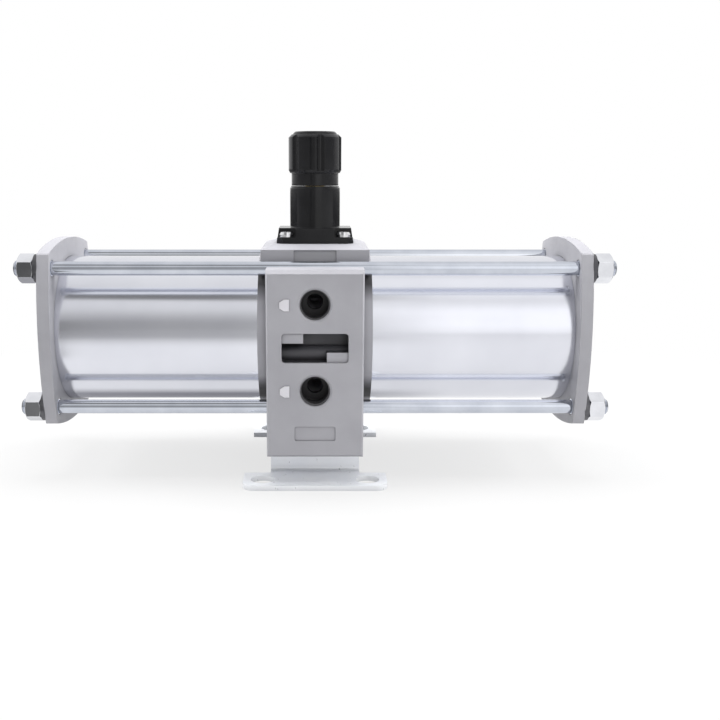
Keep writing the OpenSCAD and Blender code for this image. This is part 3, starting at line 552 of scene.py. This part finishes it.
def coil(bm, length, mid_r, turns, wire_r):
    """Round wire spring standing on z = 0, its end turns closer together."""
    count = turns * COIL_STEPS
    rise = length - 2.0 * (wire_r + CLEAR)
    rings = []
    for i in range(count + 1):
        share = i / count
        angle = 2.0 * math.pi * turns * share
        climb = share - END_TURNS_CLOSER * math.sin(2.0 * math.pi * share) / (2.0 * math.pi)
        middle = wire_r + CLEAR + rise * climb
        ring = []
        for k in range(COIL_SIDES):
            turn = 2.0 * math.pi * k / COIL_SIDES
            r = mid_r + wire_r * math.cos(turn)
            z = middle + wire_r * math.sin(turn)
            ring.append(bm.verts.new((r * math.cos(angle), r * math.sin(angle), z)))
        rings.append(ring)
    join_rings(bm, rings)


def sector(bm, outer_r, thick, inner_r, width):
    """One slice of a rubber disc lying on z = 0, pointing to +X, with a low roll near its edge."""
    rows = []
    for i in range(SLICE_OUT + 1):
        r = inner_r + (outer_r - inner_r) * i / SLICE_OUT
        roll = ROLL_DROP * max(0.0, 1.0 - abs(r - ROLL_R) / ROLL_HALF)
        row = []
        for k in range(SLICE_ACROSS + 1):
            angle = width * (k / SLICE_ACROSS - 0.5)
            x, y = r * math.cos(angle), r * math.sin(angle)
            row.append((bm.verts.new((x, y, -roll)), bm.verts.new((x, y, thick - roll))))
        rows.append(row)
    for a, b in zip(rows, rows[1:]):
        for k in range(SLICE_ACROSS):
            for level in (0, 1):
                bm.faces.new((a[k][level], b[k][level], b[k + 1][level], a[k + 1][level]))
        for k in (0, SLICE_ACROSS):
            bm.faces.new((a[k][0], a[k][1], b[k][1], b[k][0]))
    for row in (rows[0], rows[-1]):
        for k in range(SLICE_ACROSS):
            bm.faces.new((row[k][0], row[k][1], row[k + 1][1], row[k + 1][0]))


def add_coil(name, node, look, matrix, start, end):
    """A spring between start and end, which are apart along one axis."""
    mid_r, turns, wire_r = look
    maker = partial(coil, length=math.dist(start, end), mid_r=mid_r, turns=turns, wire_r=wire_r)
    stretch_piece(name, maker, node, matrix)


def add_springs():
    """Springs between what they press on, and a diaphragm in slices with a low roll near its edge, in place of
    their nodes.
    """
    for name, node, body, look, low, high in (
            ("coil_pressure", "pressure_spring", "seat", PRESSURE_COIL, PLATE_TOP, SEAT_LOW),
            ("coil_governor", "governor_spring", "governor", GOVERNOR_COIL, GOVERNOR_FLOOR, GOVERNOR_LOW)):
        add_coil(name, node, look, Matrix.Translation((0.0, 0.0, low)),
                 start=(0.0, 0.0, low), end=(0.0, 0.0, high))
    for side, hand in ((-1.0, "left"), (1.0, "right")):
        along = Matrix.Rotation(math.radians(90.0 * side), 4, "Y")
        for kind, z, held, moved in (("inlet", PORT_HIGH, CHECK_OUT, CHECK_IN + POPPET),
                                     ("outlet", PORT_LOW, CHECK_IN, CHECK_OUT - POPPET)):
            spot = Matrix.Translation((side * min(held, moved), CHECK_Y, z)) @ along
            add_coil("coil_%s_%s" % (hand, kind), "check_springs", CHECK_COIL, spot,
                     start=(side * held, CHECK_Y, z), end=(side * moved, CHECK_Y, z))
    width = 2.0 * math.pi / DIAPHRAGM_SLICES
    maker = partial(sector, outer_r=DIAPHRAGM_R - CLEAR, thick=BODY_TOP - DIAPHRAGM_LOW - CLEAR,
                    inner_r=DIAPHRAGM_HOLE, width=width)
    for i in range(DIAPHRAGM_SLICES):
        spot = Matrix.Translation((0.0, 0.0, DIAPHRAGM_LOW)) @ Matrix.Rotation(width * i, 4, "Z")
        stretch_piece("diaphragm_slice_%d" % (i + 1), maker, "diaphragm", spot)


add_threads()
add_springs()


# Studio

def mirrored_floor(tree):
    """The floor's colour in reflections: greyer far off on the left, with dark places beside the part and a
    painted shadow under its left side.
    """
    place = split_place(tree)
    left_far = product(tree, map_range(tree, place["X"], *BANDS_LEFT), map_range(tree, place["Y"], *BANDS_FAR))
    colour = ramp(tree, left_far, FLOOR_BANDS)
    slant = math_node(tree, "MULTIPLY_ADD", place["Y"], STRIP_SLANT, place["X"])
    strip = product(tree, between(tree, slant, *STRIP_EDGES), map_range(tree, place["Y"], *STRIP_FROM))
    colour = mix_colour(tree, strip, colour, STRIP_GREY)
    aside = math_node(tree, "ABSOLUTE", place["X"])
    behind = product(tree, map_range(tree, aside, *BEHIND_ASIDE), map_range(tree, place["Y"], *BEHIND_FROM))
    colour = mix_colour(tree, behind, colour, BEHIND_GREY)
    # Painted shadow under the left of the part, seen only in reflections.
    under = product(tree, between(tree, place["Y"], *UNDER_SHADOW_EDGES), map_range(tree, place["X"], *UNDER_SHADOW_LEFT))
    return mix_colour(tree, under, colour, UNDER_PAINTED_SHADOW)


def add_floor():
    """Pale floor, white to the camera apart from the object's shadow."""
    corners = ((-FLOOR_HALF, -FLOOR_HALF), (FLOOR_HALF, -FLOOR_HALF),
               (FLOOR_HALF, FLOOR_HALF), (-FLOOR_HALF, FLOOR_HALF))
    mesh = bpy.data.meshes.new("floor")
    mesh.from_pydata([(x, y, 0.0) for x, y in corners], [], [(0, 1, 2, 3)])
    floor = bpy.data.objects.new("floor", mesh)
    scene.collection.objects.link(floor)
    mat, tree, shader = new_material("pale_floor")
    shader.inputs["Base Color"].default_value = rgba(FLOOR_GREY)
    shader.inputs["Roughness"].default_value = FLOOR_ROUGH
    path = put(tree, "ShaderNodeLightPath").outputs
    glow = put(tree, "ShaderNodeEmission", Strength=1.0)
    colour = mix_colour(tree, path["Is Glossy Ray"], WHITE, mirrored_floor(tree))
    tree.links.new(colour, glow.inputs["Color"])
    away = put(tree, "ShaderNodeVectorMath", operation="LENGTH")
    tree.links.new(object_coords(tree, SHADOW_SHAPE), away.inputs[0])
    plain = map_range(tree, away.outputs["Value"], *SHADOW_FADE)
    seen = product(tree, path["Is Camera Ray"], plain)
    share = math_node(tree, "MULTIPLY_ADD", path["Is Glossy Ray"], MIRRORED_SHARE, seen)
    mix = put(tree, "ShaderNodeMixShader")
    for socket, value in zip(mix.inputs, (share, shader.outputs[0], glow.outputs[0])):
        tree.links.new(value, socket)
    tree.links.new(mix.outputs[0], tree.nodes["Material Output"].inputs["Surface"])
    floor.data.materials.append(mat)


def build_world():
    """White where the camera looks; bands of light and grey by height for light and reflections."""
    world = bpy.data.worlds.new("studio")
    scene.world = world
    world.use_nodes = True
    tree = world.node_tree
    coords = put(tree, "ShaderNodeTexCoord")
    split = put(tree, "ShaderNodeSeparateXYZ")
    tree.links.new(coords.outputs["Generated"], split.inputs["Vector"])
    toward = split.outputs
    up = map_range(tree, toward["Z"], -1.0, 1.0)
    lit = between(tree, toward["X"], *LIT_EDGES)
    front = mix_colour(tree, lit, ramp(tree, up, LEFT_BANDS), ramp(tree, up, RIGHT_BANDS))
    card = product(tree, between(tree, toward["X"], *CARD_EDGES), map_range(tree, toward["Z"], *CARD_TOP))
    front = mix_colour(tree, card, front, CARD_GREY)
    around = mix_colour(tree, map_range(tree, toward["Y"], *BACK_FROM), front, BACK_GREY)
    path = put(tree, "ShaderNodeLightPath")
    colour = mix_colour(tree, path.outputs["Is Camera Ray"], around, WHITE)
    tree.links.new(colour, tree.nodes["Background"].inputs["Color"])


def add_light(name, place, size, power):
    """A soft rectangular lamp that does not show in reflections."""
    light = bpy.data.lights.new(name, "AREA")
    light.shape = "RECTANGLE"
    light.size, light.size_y = size
    light.energy = power
    lamp = bpy.data.objects.new(name, light)
    scene.collection.objects.link(lamp)
    lamp.location = place
    lamp.rotation_euler = (Vector(LAMP_TARGET) - Vector(place)).to_track_quat("-Z", "Y").to_euler()
    lamp.visible_glossy = False


def add_camera():
    """The photo's point of view."""
    view = bpy.data.cameras.new("camera")
    view.sensor_width = CAMERA_SENSOR
    view.sensor_fit = "HORIZONTAL"
    view.lens = CAMERA_LENS
    view.shift_x = CAMERA_SHIFT
    camera = bpy.data.objects.new("camera", view)
    scene.collection.objects.link(camera)
    camera.location = CAMERA_PLACE
    camera.rotation_euler = (math.radians(90.0 - CAMERA_DOWN), 0.0, 0.0)
    scene.camera = camera


add_floor()
build_world()
for lamp_name, lamp_place, lamp_size, lamp_power in LAMPS:
    add_light(lamp_name, lamp_place, lamp_size, lamp_power)
add_camera()
